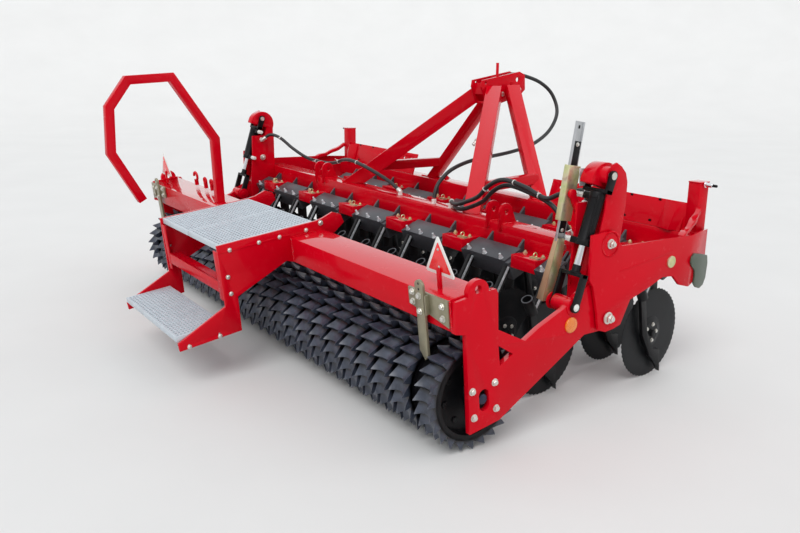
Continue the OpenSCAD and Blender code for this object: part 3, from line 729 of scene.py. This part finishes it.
def gratings():
    g = grating
    spots = []
    bands = Shape(leaning)
    for x0, x1, y0, y1, z in g["decks"]:
        nx, ny = int((x1 - x0 - g["margin"]) / g["across"]), int((y1 - y0 - g["margin"]) / g["deep"])
        for i in range(nx):
            for j in range(ny):
                px = (x0 + x1) / 2 + (i - (nx - 1) / 2) * g["across"]
                py = (y0 + y1) / 2 + (j - (ny - 1) / 2) * g["deep"]
                spots.append((leaning(px, py, z - 0.4), leanTurn, 1.0))
        mx, my = (x1 - x0 - nx * g["across"]) / 2, (y1 - y0 - ny * g["deep"]) / 2
        loops = [(0, 0, g["fold"]), (0, 0, 1.2), (mx, my, 1.2), (mx, my, 3.0), (g["wall"], g["wall"], 3.6),
                 (g["wall"], g["wall"], g["fold"])]
        bands.loft([[(x0 + a, y0 + b, z - h), (x1 - a, y0 + b, z - h), (x1 - a, y1 - b, z - h),
                     (x0 + a, y1 - b, z - h)] for a, b, h in loops], True)
    grown("gratingCells", cellMesh(), spots, "deckZinc", "roller_frame", "platform_deck", seed=5)
    bands.done("gratingBands", "deckZinc", "roller_frame", round=0.8)
    print("gratings punched:", len(spots), "cells")


# Hoses: smooth tubes with crimped ends, cable ties and a coupler
hose = {"radius": 10, "couplerLean": 49, "crimp": [(0, 11.5), (3, 12.6), (26, 12.6), (28, 11.2)]}
hoseRoutes = {
    "right": [(1368, 560, 815), (1352, 604, 850), (1290, 640, 858), (1170, 645, 825), (1094, 640, 797),
              (978, 636, 827), (850, 630, 842), (760, 625, 805), (692, 622, 745), (600, 622, 706), (530, 634, 684),
              (470, 656, 678), (420, 690, 676)],
    "lower": [(1190, 700, 654), (1172, 680, 702), (1110, 658, 772), (978, 658, 803), (850, 654, 816),
              (768, 650, 782), (700, 648, 724), (610, 646, 682), (545, 652, 662), (480, 672, 654), (420, 704, 652)],
    "left": [(-1368, 560, 815), (-1350, 604, 846), (-1300, 650, 828), (-1226, 700, 765), (-1110, 745, 712),
             (-919, 760, 704), (-780, 758, 722), (-681, 744, 748), (-530, 700, 768), (-383, 684, 760),
             (-222, 690, 727), (-102, 700, 690), (-30, 704, 656)],
    "drop": [(1362, 478, 665), (1338, 479, 667), (1306, 500, 690), (1286, 548, 742), (1262, 600, 800),
             (1226, 634, 836), (1182, 655, 842)],
}
tiePlaces = {"right": (9, 26, 33, 44), "left": (12, 27, 38, 52)}
supplyRoute = [(268, 700, 668), (262, 722, 724), (250, 770, 764), (240, 830, 796), (228, 920, 820),
               (212, 1030, 834), (200, 1120, 838), (188, 1290, 852), (175, 1450, 880), (150, 1600, 945),
               (118, 1688, 1040), (78, 1684, 1138), (46, 1620, 1204), (16, 1524, 1242), (2, 1441, 1253),
               (0, 1385, 1230), (0, 1361, 1173), (0, 1345, 1100), (0, 1322, 1036), (0, 1260, 957), (0, 1217, 914)]
# The coupler's parts: (where along it, sides, profile)
couplerParts = [(-6, 20, [(0, 11), (2, 12.6), (20, 12.6), (21, 11.4), (30, 11.4)]),
                (23, 6, [(0, 12.8), (10, 12.8), (11, 11.8)]),
                (33, 20, [(0, 10), (14, 10), (15, 8.6), (17, 8.6), (18, 9.4), (25, 9.2), (25.5, 6), (19, 5.6)])]


def supplyHose():
    route = smoothed(supplyRoute, 8)
    length = sum((b - a).length for a, b in zip(route, route[1:])) / 1000
    thing = Shape().pipe(route, hose["radius"], 14).done("supplyHoseTube", "hoseRubber", "main_frame", "supply_hose")
    coupler = Shape()
    lean = math.radians(hose["couplerLean"])
    tip, way = Vector(supplyRoute[-1]), Vector((0, -math.sin(lean), -math.cos(lean)))
    for start, sides, profile in couplerParts:
        coupler.turned(tip + way * start, way, profile, sides)
    end = coupler.done("supplyCoupler", "boltZinc", "main_frame", "hose_coupler")
    tuple(at(*supplyRoute[0]))
    [tuple(at(*p)) for p in route]
    print("supply hose laid:", round(length, 3), "m")


def fixedHoses():
    runs, ends, ties = Shape(), Shape(), []
    for name, route in hoseRoutes.items():
        line = smoothed(route, 6)
        runs.pipe(line, hose["radius"], 12)
        for a, b in ((line[0], line[1]), (line[-1], line[-2])):
            way = (b - a).normalized()
            ends.turned(a - way * 4, way, hose["crimp"], 16)
        ties += [(at(*line[k]), aimed(line[k + 1] - line[k]), 1.0) for k in tiePlaces.get(name, ())]
    runs.done("cylinderHoseTubes", "hoseRubber", "main_frame", "cylinder_hoses")
    ends.done("hoseCrimps", "boltZinc", "main_frame")
    tie = Shape(local).turned((0, 0, 0), upward, [(-2.4, 10.4), (-2.4, 11.9), (2.4, 11.9), (2.4, 10.4)], 16, True)
    tie.box((-4, 10, -3.5), (4, 16, 3.5)).box((-1.2, 15, -2.4), (1.2, 30, -1.2))
    grown("cableTies", tie.mesh("tie"), ties, "whiteNylon", "main_frame", loose=2.6, seed=11)
    print("cylinder hoses laid:", len(hoseRoutes))


# Cylinders: z counts down from the top pin, and straps are the eyes' plates, across the machine
cylinder = {"x": 1450, "barrelR": 28, "barrelTop": -66, "barrelEnd": -270, "rodR": 15.5, "forkTop": 124, "strap": 15,
            "straps": ((1489, 1501), (1384, 1396)),
            "port": [(0, 9), (5, 9), (5, 12), (18, 12), (18.5, 9.5), (26, 9.5), (26.5, 11.5), (44, 11.5), (45, 9)]}


def cylinders():
    to = along(cylTop, cylFoot)
    c = cylinder
    wide, end = c["strap"], c["barrelEnd"]
    reach = c["barrelTop"] - end
    foot = -cylLength
    neck = foot + c["forkTop"]
    ports = (-86, end + 14)
    eye = [(-wide, -68), (wide, -68)] + arc(19, range(-20, 201, 20))
    leg = [(-wide, neck), (-wide - 1, foot + 12)] + arc(21, range(180, 361, 20), (0, foot)) + [
        (wide + 1, foot + 12), (wide, neck)]
    for name, s in side.items():
        x, out = s * c["x"], (s, 0, 0)
        barrel, rod = "barrel_" + name.lower(), "rod_" + name.lower()
        black = Shape(to)
        black.turned((x, 0, c["barrelTop"]), (0, 0, -1),
                     [(0, 24), (2, 30), (24, 30), (26, c["barrelR"]), (reach - 26, c["barrelR"]), (reach - 24, 31),
                      (reach - 2, 31), (reach, 28), (reach, 17)], 40)
        for low, high in c["straps"]:
            black.prism(eye, s * low, s * high)
        black.box((s * 1384, -wide, -68), (s * 1501, wide, -54))
        inner, outer = sorted((x - s * 58, x - s * 22))
        for z in ports:
            black.box((inner, -13, z - 12), (outer, 13, z + 12))
        black.pipe([Vector((x + s * 23, -18, z)) for z in range(-80, end + 10, -20)], 4.2, 10)
        black.done("barrel" + name + "Body", "blackPaint", barrel, barrel, round=0.9)
        white = Shape(to)
        for z in ports:
            white.turned((x - s * 57, 0, z), (-s, 0, 0), c["port"], 6)
        white.done("barrelPorts" + name, "whiteNylon", barrel)
        pins = Shape().turned((s * 1501, *cylTop), out, [(0, 10.5), (2.6, 10.5), (3.0, 8.5)])
        pins.turned((s * 1380, *cylTop), out, [(0, 12), (5, 14), (122, 14)]).done("topPin" + name, "boltZinc", barrel)
        fork = Shape(to)
        for low, high in c["straps"]:
            fork.prism(leg, s * low, s * high)
        fork.box((s * 1384, -13, neck - 14), (s * 1501, 11, neck))
        fork.turned((x, 0, neck - 2), upward, [(0, 22), (4, 22), (8, 16.5), (30, 16.5), (31, c["rodR"])], 32)
        fork.done("rod" + name + "Fork", "blackPaint", rod, rod, round=0.9)
        Shape(to).turned((x, 0, neck + 29), upward, [(0, c["rodR"]), (-neck - 149, c["rodR"])], 40).done(
            "rod" + name + "Chrome", "chrome", rod)
        Shape().turned((s * 1484, *cylFoot), out, [(0, 14), (17.5, 14), (17.5, 10), (21, 10), (21.6, 8)]).done(
            "footPinHead" + name, "whiteNylon", "roller_frame")
    print("cylinders built:", len(side))


gauge = {"x": 1362, "half": 6, "wall": 3, "wide": 20, "blackTop": 192, "top": 264, "foot": 190, "lowBolt": -139,
         "plate": [(512, 900), (624, 900), (618, 960), (507, 966)]}


def gaugeBar():
    to = along(sleeveAt, cylFoot)
    g = gauge
    foot, low = -gaugeLength, -gaugeLength + g["foot"]
    x0, x1 = g["x"] - g["half"], g["x"] + g["half"]
    x2 = x1 + g["wall"]
    w, t = g["wide"], g["wall"]
    channel = [(x0, -w), (x1, -w), (x1, -w + t), (x0 + 5, -w + t), (x0 + 5, w - t), (x1, w - t), (x1, w), (x0, w)]
    Shape(to).prism(channel, low, g["top"], 2).done(
        "gaugeBarChannel", "aluminium", "gauge_bar", "gauge_bar", round=0.5)
    black = Shape(to).box((x0 + 5, -w + t + 0.5, -150), (x0 + 10, w - t - 0.5, g["blackTop"]))
    black.box((x0 + 5, -5, g["top"] - 26), (x0 + 5.6, 4, g["top"] - 14))
    black.done("gaugeInnerBar", "blackPaint", "gauge_bar", round=0.5)
    # Folded foot: bright on one flank and bronzed on the other
    Shape(to).prism([(-40, foot - 8), (16, foot - 2), (24, low + 6), (16, low + 44), (-16, low + 44)], x1, x2).done(
        "gaugeFootFlank", "yellowZinc", "gauge_bar", round=0.6)
    Shape(to).loft([
        [(x0 - 22, -39, foot - 4), (x2, -43, foot - 8), (x2, -40, foot - 8), (x0 - 22, -36, foot - 4)],
        [(x0 - 4, -19, low + 44), (x2, -19, low + 44), (x2, -16, low + 44), (x0 - 4, -16, low + 44)]]).done(
        "gaugeFootFold", "bronzeZinc", "gauge_bar", round=0.6)
    bolts = [(to(x0 + 10, 0, z), aimed(rightward), 0.62) for z in (g["blackTop"] - 12, g["lowBolt"])]
    grown("gaugeBolts", boltSeed("hexBolt"), bolts, "boltZinc", "gauge_bar")
    Shape().prism(g["plate"], 1388, 1391).done("gaugeSidePlate", "galvanised", "main_frame", round=0.5)
    print("gauge built")


board = {"x": 1340, "corners": ((84, 650), (0, 795), (-84, 650)), "middle": 698, "back": -41, "front": -44,
         "face": -45.4, "rim": (0, 8), "inside": (13, 3), "screws": (680, 742),
         "reflector": [(0, 30), (4, 30), (7, 27), (8.4, 18), (8.8, 8)]}


def triangle(s, inset, r):
    # Rounded triangle, drawn in from the outer edge
    out = []
    for k, (x, z) in enumerate(board["corners"]):
        inward = Vector((0 - x, board["middle"] - z)).normalized() * (2 * (inset + r))
        out += arc(r, range(120 * k - 90, 120 * k + 31, 20), (s * board["x"] + x + inward.x, z + inward.y))
    return out


def boards():
    b = board
    for name, s in side.items():
        Shape(leaning).box((s * b["x"] - 10, -52, 602), (s * b["x"] + 10, b["front"] - 0.2, 676)).done(
            "boardStalk" + name, "redPaint", "roller_frame", round=1.0)
        Shape(leaning).prism(triangle(s, *b["rim"]), b["back"], b["front"], 1).done(
            "boardRim" + name, "whiteNylon", "roller_frame", "warning_boards", round=1.2)
        Shape(leaning).prism(triangle(s, *b["inside"]), b["front"] - 0.2, b["face"], 1).done(
            "boardFace" + name, "redReflex", "roller_frame", round=0.4)
        Shape(leaning).turned((s * 1482, 431, 357), (s, 0, 0), b["reflector"], 40).done(
            "sideReflector" + name, "amberLens", "roller_frame")
    spots = [(leaning(s * b["x"], b["face"], z), aimed(leanBack), 0.42) for s in side.values() for z in b["screws"]]
    grown("boardScrews", boltSeed("button"), spots, "boltZinc", "roller_frame")
    print("boards set:", len(side))


# Hook and two eyes along the front edge of the beam's left end: (x, z, ring radius, from, to in degrees)
hoseEyes = [(-1112, 655, 24, -60, 200), (-972, 648, 15, -90, 250), (-880, 648, 15, -90, 250)]
# Turned-in edges of the platform's side plates, the angle of its cross bar, and the ridge along each plate
platform = {"edges": ((292, 336), (-333, -289)), "edgeEnds": ((-441, 400), (-440, 618)),
            "angle": ((-289, -440, 476), (292, -392, 480)), "ridges": ((348, 349.6), (-345, -346.6)),
            "ridge": [(-437, 620), (-437, 612), (-100, 612), (-100, 620)]}


def platformDetails():
    flange = Shape(leaning)
    for x0, x1 in platform["edges"]:
        flange.loft([[(x0, y, z), (x1, y, z), (x1, y + 5, z), (x0, y + 5, z)] for y, z in platform["edgeEnds"]])
    flange.box(*platform["angle"])
    for x0, x1 in platform["ridges"]:
        flange.prism(platform["ridge"], x0, x1)
    flange.done("platformFlanges", "redPaint", "roller_frame", round=0.9)
    rings = Shape(leaning)
    for x, z, r, low, high in hoseEyes:
        rings.pipe([Vector((px, 50, pz)) for px, pz in arc(r, range(low, high, 20), (x, z))], 7, 10)
        rings.box((x - 9, 41, 603.5), (x + 9, 59, z - r + 8))
    rings.done("hoseEyes", "redPaint", "roller_frame")
    print("platform flanged")


# Welds: rows of small beads along these paths
bead = {"step": 3.6, "small": 0.85, "more": 0.2,
        "profile": [(0, 1.6), (1.3, 3.8), (2.6, 4.7), (3.9, 3.8), (5.2, 1.6)]}
# Long curled gussets that tie each post to the top edge of its side plate
gussetRoute = [(1486, 1015, 668), (1479, 1042, 680), (1469, 1078, 688), (1459, 1108, 702), (1449, 1138, 714),
               (1441, 1163, 726), (1433, 1188, 740), (1426, 1206, 752)]


def weldPaths():
    mainPaths, framePaths = [], []
    for s in side.values():
        mainPaths.append([(s * 1396, 650, 552), (s * 1396, 650, 638)])
        for x in (738, 823):
            mainPaths += [[(s * (x + d), 736, 641), (s * (x + d), 652, 641)] for d in (-7, 7)]
            mainPaths += [[(s * (x + d), 649, 614), (s * (x + d), 649, 638)] for d in (-7, 7)]
        mainPaths.append([(s * 1500, y, z) for y, z in arc(46, [22.5 * k for k in range(17)], (578, 694))])
        mainPaths += [[(s * 1366, 1205, 641), (s * 1422, 1205, 641)],
                      [(s * 46, 1262, 1130), (s * 46, 1262, 1180)], [(s * 47, 1380, 1140), (s * 47, 1395, 1214)],
                      [(s * 516, 692, 641), (s * 604, 692, 641)], [(s * 446, 1206, 641), (s * 516, 1206, 641)]]
        framePaths += [[(s * 1459, y, 604) for y in (-98, 58)], [(s * 1459, 61, z) for z in (492, 600)],
                       [(s * 1459, -101, z) for z in (500, 600)]]
    framePaths += [[(x, -101, z) for z in (494, 600)] for x in (334, 350, -331, -347)]
    framePaths += [[(x, y, 604) for y in (-98, 22)] for x in (350, -347)]
    framePaths += [[(x, y, 603) for y in (-60, -20)] for x in (-583, -537)] + [[(x, -68, 603) for x in (-583, -537)]]
    return ("mainWelds", "main_frame", mainPaths, at), ("frameWelds", "roller_frame", framePaths, leaning)


def welds():
    for name, body, paths, to in weldPaths():
        spots = []
        for path in paths:
            for a, b in zip(path, path[1:]):
                a, b = Vector(a), Vector(b)
                n = max(2, int((b - a).length / bead["step"]))
                turn = aimed(to(*b) - to(*a))
                spots += [(to(*(a + (b - a) * (k + 0.5) / n)), turn, bead["small"] + bead["more"] * ((k * 7) % 5) / 4)
                          for k in range(n)]
        seed = Shape(local).turned((0, 0, -2.6), upward, bead["profile"], 10).mesh("bead", angle=60)
        grown(name, seed, spots, "redPaint", body, seed=13)
    for name, s in side.items():
        line = smoothed([(s * x, y, z) for x, y, z in gussetRoute], 8)
        sections = []
        for k, p in enumerate(line):
            t = k / (len(line) - 1)
            wave = 1.6 * math.sin(t * 15)
            w = 13 + 2 * math.sin(t * 13)
            sections.append([p + Vector(v) for v in ((-w, 0, wave), (w, 0, wave), (w, 0, wave - 22),
                                                     (-w, 0, wave - 22))])
        Shape().loft(sections).done("curlGusset" + name, "redPaint", "main_frame", round=2.0, angle=50)
    print("welds laid")


# Each row's tube mouth and flat stay, from its disc's centre, and the eye plate beside each hanger box
row = {"mouth": (30, -136, 222), "mouthLean": 30, "collar": [(0, 19.2), (0, 23.4), (3.4, 23.4), (3.4, 19.2)],
       "stay": [(-38, 310), (-29, 307), (-107, 183), (-116, 187)], "eye": (46, 545, 565.2), "eyeRing": 10}


def rowDetails():
    lean = math.radians(row["mouthLean"])
    way = Vector((0, -math.sin(lean), math.cos(lean)))
    mouth = Shape(local).turned(Vector(row["mouth"]) + way * 28, way, row["collar"], 24, True)
    stay = Shape(local).prism(row["stay"], 32.5, 36)
    spots = [(atRow(x, f)(0, 0, 0), Matrix.Rotation(rowTurn, 3, "Z"), 1.0) for x, f in each(rows)]
    for name, seed, coat in (("tubeMouths", mouth, "greyPlate"), ("tubeStays", stay, "stayZinc")):
        grown(name, seed.mesh(name + "Seed"), spots, coat, "main_frame", seed=2)
    eye = Shape(local).box((-24, -10, 0), (24, 10, 7))
    eye.pipe([Vector((0, y, z)) for y, z in arc(row["eyeRing"], range(0, 360, 30), (0, 16))], 2.6, 8)
    dx, y, z = row["eye"]
    spots = [(at(x + dx, y + f * coulter["ahead"], z), Matrix.Identity(3), 1.0) for x, f in each(boxes)]
    grown("eyePlates", eye.mesh("eyeSeed"), spots, "yellowZinc", "main_frame", seed=4)
    print("rows dressed:", len(each(rows)))


# Side plates and posts: y and z of the boss and of the pin across each post's top, and where the plate bends
post = {"x": 1395, "half": 30, "boss": (948, 572), "pin": (1235, 846), "bend": 18, "bendAt": (1500, 1075),
        "capLow": (1203, 852), "capHigh": (1267, 857), "linkPin": (-60, 1441, 1170)}
hook = [(1075, 575), (1102, 584), (1200, 562), (1283, 541), (1299, 505), (1290, 440), (1262, 414), (1215, 409),
        (1165, 425), (1131, 448), (1136, 480), (1130, 503), (1108, 520), (1082, 534), (1068, 552)]
# Face of each upright, flush with its side plate
uprightFace = [(528, 728), (549, 817), (556, 905), (570, 985), (596, 992), (624, 976), (650, 950), (662, 915),
               (662, 834), (648, 726), (645, 690)]


def bent(s, x, y, z):
    # The front part of a side plate turns inward
    x0, y0 = post["bendAt"]
    c, k = onCircle(1, post["bend"])
    return (s * (x0 + (x - x0) * c - (y - y0) * k), y0 + (x - x0) * k + (y - y0) * c, z)


# Folded strip below each hopper mounting plate, as two lengths, each with a loop at its foot and one at its top
strips = (([(1246, 1173, 643), (1318, 1156, 643), (1318, 1160, 641), (1246, 1178, 641)],
           [(1258, 1212, 760), (1330, 1192, 752), (1330, 1196, 750), (1258, 1217, 758)]),
          ([(1318, 1156, 643), (1367, 1206, 643), (1367, 1210, 643), (1318, 1160, 641)],
           [(1330, 1192, 752), (1367, 1206, 764), (1367, 1210, 764), (1330, 1196, 750)]))
plateHoles = ((1070, 1213, 754), (1061, 1183, 661), (1201, 1183, 661), (1224, 1213, 754))


def postDetails():
    plates, bosses, caps, pins, tipsAndHoleShade, creases = (Shape() for k in range(6))
    for s in side.values():
        out = (s, 0, 0)
        plates.loft([[bent(s, x, y, z) for y, z in hook] for x in (1500.5, 1508)])
        bosses.turned((s * 1500, *post["boss"]), out, [(0, 24), (5, 24), (6.4, 22), (6.4, 13)], 40)
        bosses.turned((s * 1506, *post["boss"]), out, [(0, 12), (1.6, 12), (2.4, 10.5)], 6)
        caps.box((s * post["x"] - post["half"], *post["capLow"]), (s * post["x"] + post["half"], *post["capHigh"]))
        pins.turned((s * 1424, *post["pin"]), out, [(0, 12), (5, 12), (5, 9.5), (36, 9.5), (38, 8)])
        tipsAndHoleShade.turned((s * 1461, *post["pin"]), out, [(0, 6), (18, 6), (20, 4.5)], 16)
        creases.prism([(641, 576), (642, 581), (951, 618), (953, 614), (951, 610)], s * 1500, s * 1501.4)
        creases.prism(uprightFace, s * 1480.5, s * 1487)
        for strip in strips:
            creases.loft([[(s * x, y, z) for x, y, z in loop] for loop in strip])
        # Black discs in the mounting plates' holes are painted shade
        for x, y, z in plateHoles:
            tipsAndHoleShade.turned((s * x, y, z), (0, -0.95, -0.31), [(-3, 7), (0.4, 7)], 16)
    plates.done("hookPlates", "hookZincGrassReflection", "main_frame", "side_hooks", round=1.5)
    bosses.done("sideBosses", "yellowZinc", "main_frame")
    caps.done("postCaps", "redPaint", "main_frame", round=1.2)
    pins.done("postPins", "chrome", "main_frame")
    tipsAndHoleShade.done("postPinTips", "blackPaint", "main_frame")
    creases.done("sideFaces", "redPaint", "main_frame", round=0.6)
    Shape().turned(post["linkPin"], rightward, [(0, 16), (4, 16), (4, 12), (116, 12), (116, 16), (120, 16)]).done(
        "topLinkPin", "whiteNylon", "main_frame")
    print("posts capped")


scraper = {"x": 1319, "plate": [(1236, 540), (1300, 531), (1345, 529), (1456, 506), (1456, 603), (1236, 603)],
           "holes": (636, 616)}


def scrapers():
    metal, holes = Shape(leaning), Shape(leaning)
    for s in side.values():
        x = s * scraper["x"]
        metal.prism([(s * px, z) for px, z in scraper["plate"]], -110, -100.5, 1)
        metal.box((s * 1352, -128, 530), (s * 1357, -110, 602))
        top = [(x + 23 * c, 627 + 22 * k) for c, k in arc(1, range(0, 181, 20))]
        metal.prism(top + [(x - 23, 384), (x + 6, 352), (x + 23, 372)], -124, -113, 1)
        metal.box((s * 1296, -114, 532), (s * 1342, -109, 600))
        # Black discs on the plate's rear face are painted shade in its holes
        for z in scraper["holes"]:
            holes.turned((x, -123.6, z), backward, [(0, 4.5), (0.8, 4.5)], 12)
    metal.done("scraperBars", "oliveZinc", "roller_frame", "end_brackets", round=0.9)
    holes.done("scraperHoles", "blackPaint", "roller_frame")
    print("scrapers set:", len(side))


# White turned fittings where the hoses end on the beam, and one on each upright
fitting = {"z": 639, "onBeam": ((401, 700), (268, 700), (-32, 704), (1190, 700)), "onUpright": (1390, 560, 815),
           "tall": [(0, 13), (6, 13), (6.4, 11), (10, 11), (10.4, 12.5), (22, 12.5), (23, 10)],
           "short": [(0, 14), (7, 14), (7.4, 11), (22, 11), (23, 9)]}


def portFittings():
    white = Shape()
    for x, y in fitting["onBeam"]:
        white.turned((x, y, fitting["z"]), upward, fitting["tall"], 6)
    x, y, z = fitting["onUpright"]
    for s in side.values():
        white.turned((s * x, y, z), (-s, 0, 0), fitting["short"], 6)
    white.done("portFittingsTurned", "whiteNylon", "main_frame", "port_fittings")
    print("port fittings turned")


for build in (supplyHose, skins, roller, discs, gratings, fixedHoses, cylinders, gaugeBar, boards, platformDetails,
              nutsAndBolts, welds, rowDetails, postDetails, scrapers, portFittings):
    build()


# Floor: a round studio dish whose rim rises all round, in metres
dish = {"sides": 96, "ring": 0.8, "flat": 11.2, "curve": 9}


def floorRecipe(t):
    return {"Base Color": t.mix(t.noise(1.3, 3), (0.70, 0.70, 0.69), (0.76, 0.76, 0.75))}


def studio():
    bm = bmesh.new()
    sides, curve = dish["sides"], dish["curve"]
    sweep = [(dish["ring"] * k, 0.0) for k in range(1, 15)]
    sweep += [(dish["flat"] + curve * math.sin(math.radians(a)), curve * (1 - math.cos(math.radians(a))))
              for a in range(6, 79, 6)]
    hub = bm.verts.new((0, 0, 0))
    rings = [[bm.verts.new((*onCircle(r, 360 * k / sides), z)) for k in range(sides)] for r, z in sweep]
    for k in range(sides):
        m = (k + 1) % sides
        bm.faces.new([hub, rings[0][k], rings[0][m]])
        for low, high in zip(rings, rings[1:]):
            bm.faces.new([low[k], high[k], high[m], low[m]])
    mesh = bpy.data.meshes.new("studioFloor")
    bm.to_mesh(mesh)
    bm.free()
    mesh.shade_smooth()
    mesh.materials.append(finish("paleFloor", floorRecipe, roughness=0.75))
    linked("studioFloor", mesh)


# Soft light from above: (turn in degrees, power, angular size)
suns = {"keySun": ((38, 12, 20), 1.5, 35), "fillSun": ((60, -20, 150), 0.45, 60)}
sky = {"colour": (0.95, 0.97, 1.0, 1), "onSurfaces": 0.72, "seen": 0.95}


def light():
    world = bpy.data.worlds.new("softSky")
    bpy.context.scene.world = world
    world.use_nodes = True
    tree = Tree(world.node_tree)
    backdrop = world.node_tree.nodes["Background"]
    path = tree.nodes.new("ShaderNodeLightPath")
    seen, mirrored, through = (Wire(tree, path.outputs[f"Is {kind} Ray"])
                               for kind in ("Camera", "Glossy", "Transmission"))
    strength = tree.spread(seen + mirrored + through, 0.0, 1.0, sky["onSurfaces"], sky["seen"])
    backdrop.inputs["Color"].default_value = sky["colour"]
    tree.links.new(strength.socket, backdrop.inputs["Strength"])
    for name, (turn, power, size) in suns.items():
        lamp = bpy.data.lights.new(name, "SUN")
        lamp.energy = power
        lamp.angle = math.radians(size)
        linked(name, lamp).rotation_euler = [math.radians(v) for v in turn]


studio()
light()
bpy.context.scene.view_settings.view_transform = "Standard"
print("studio lit")
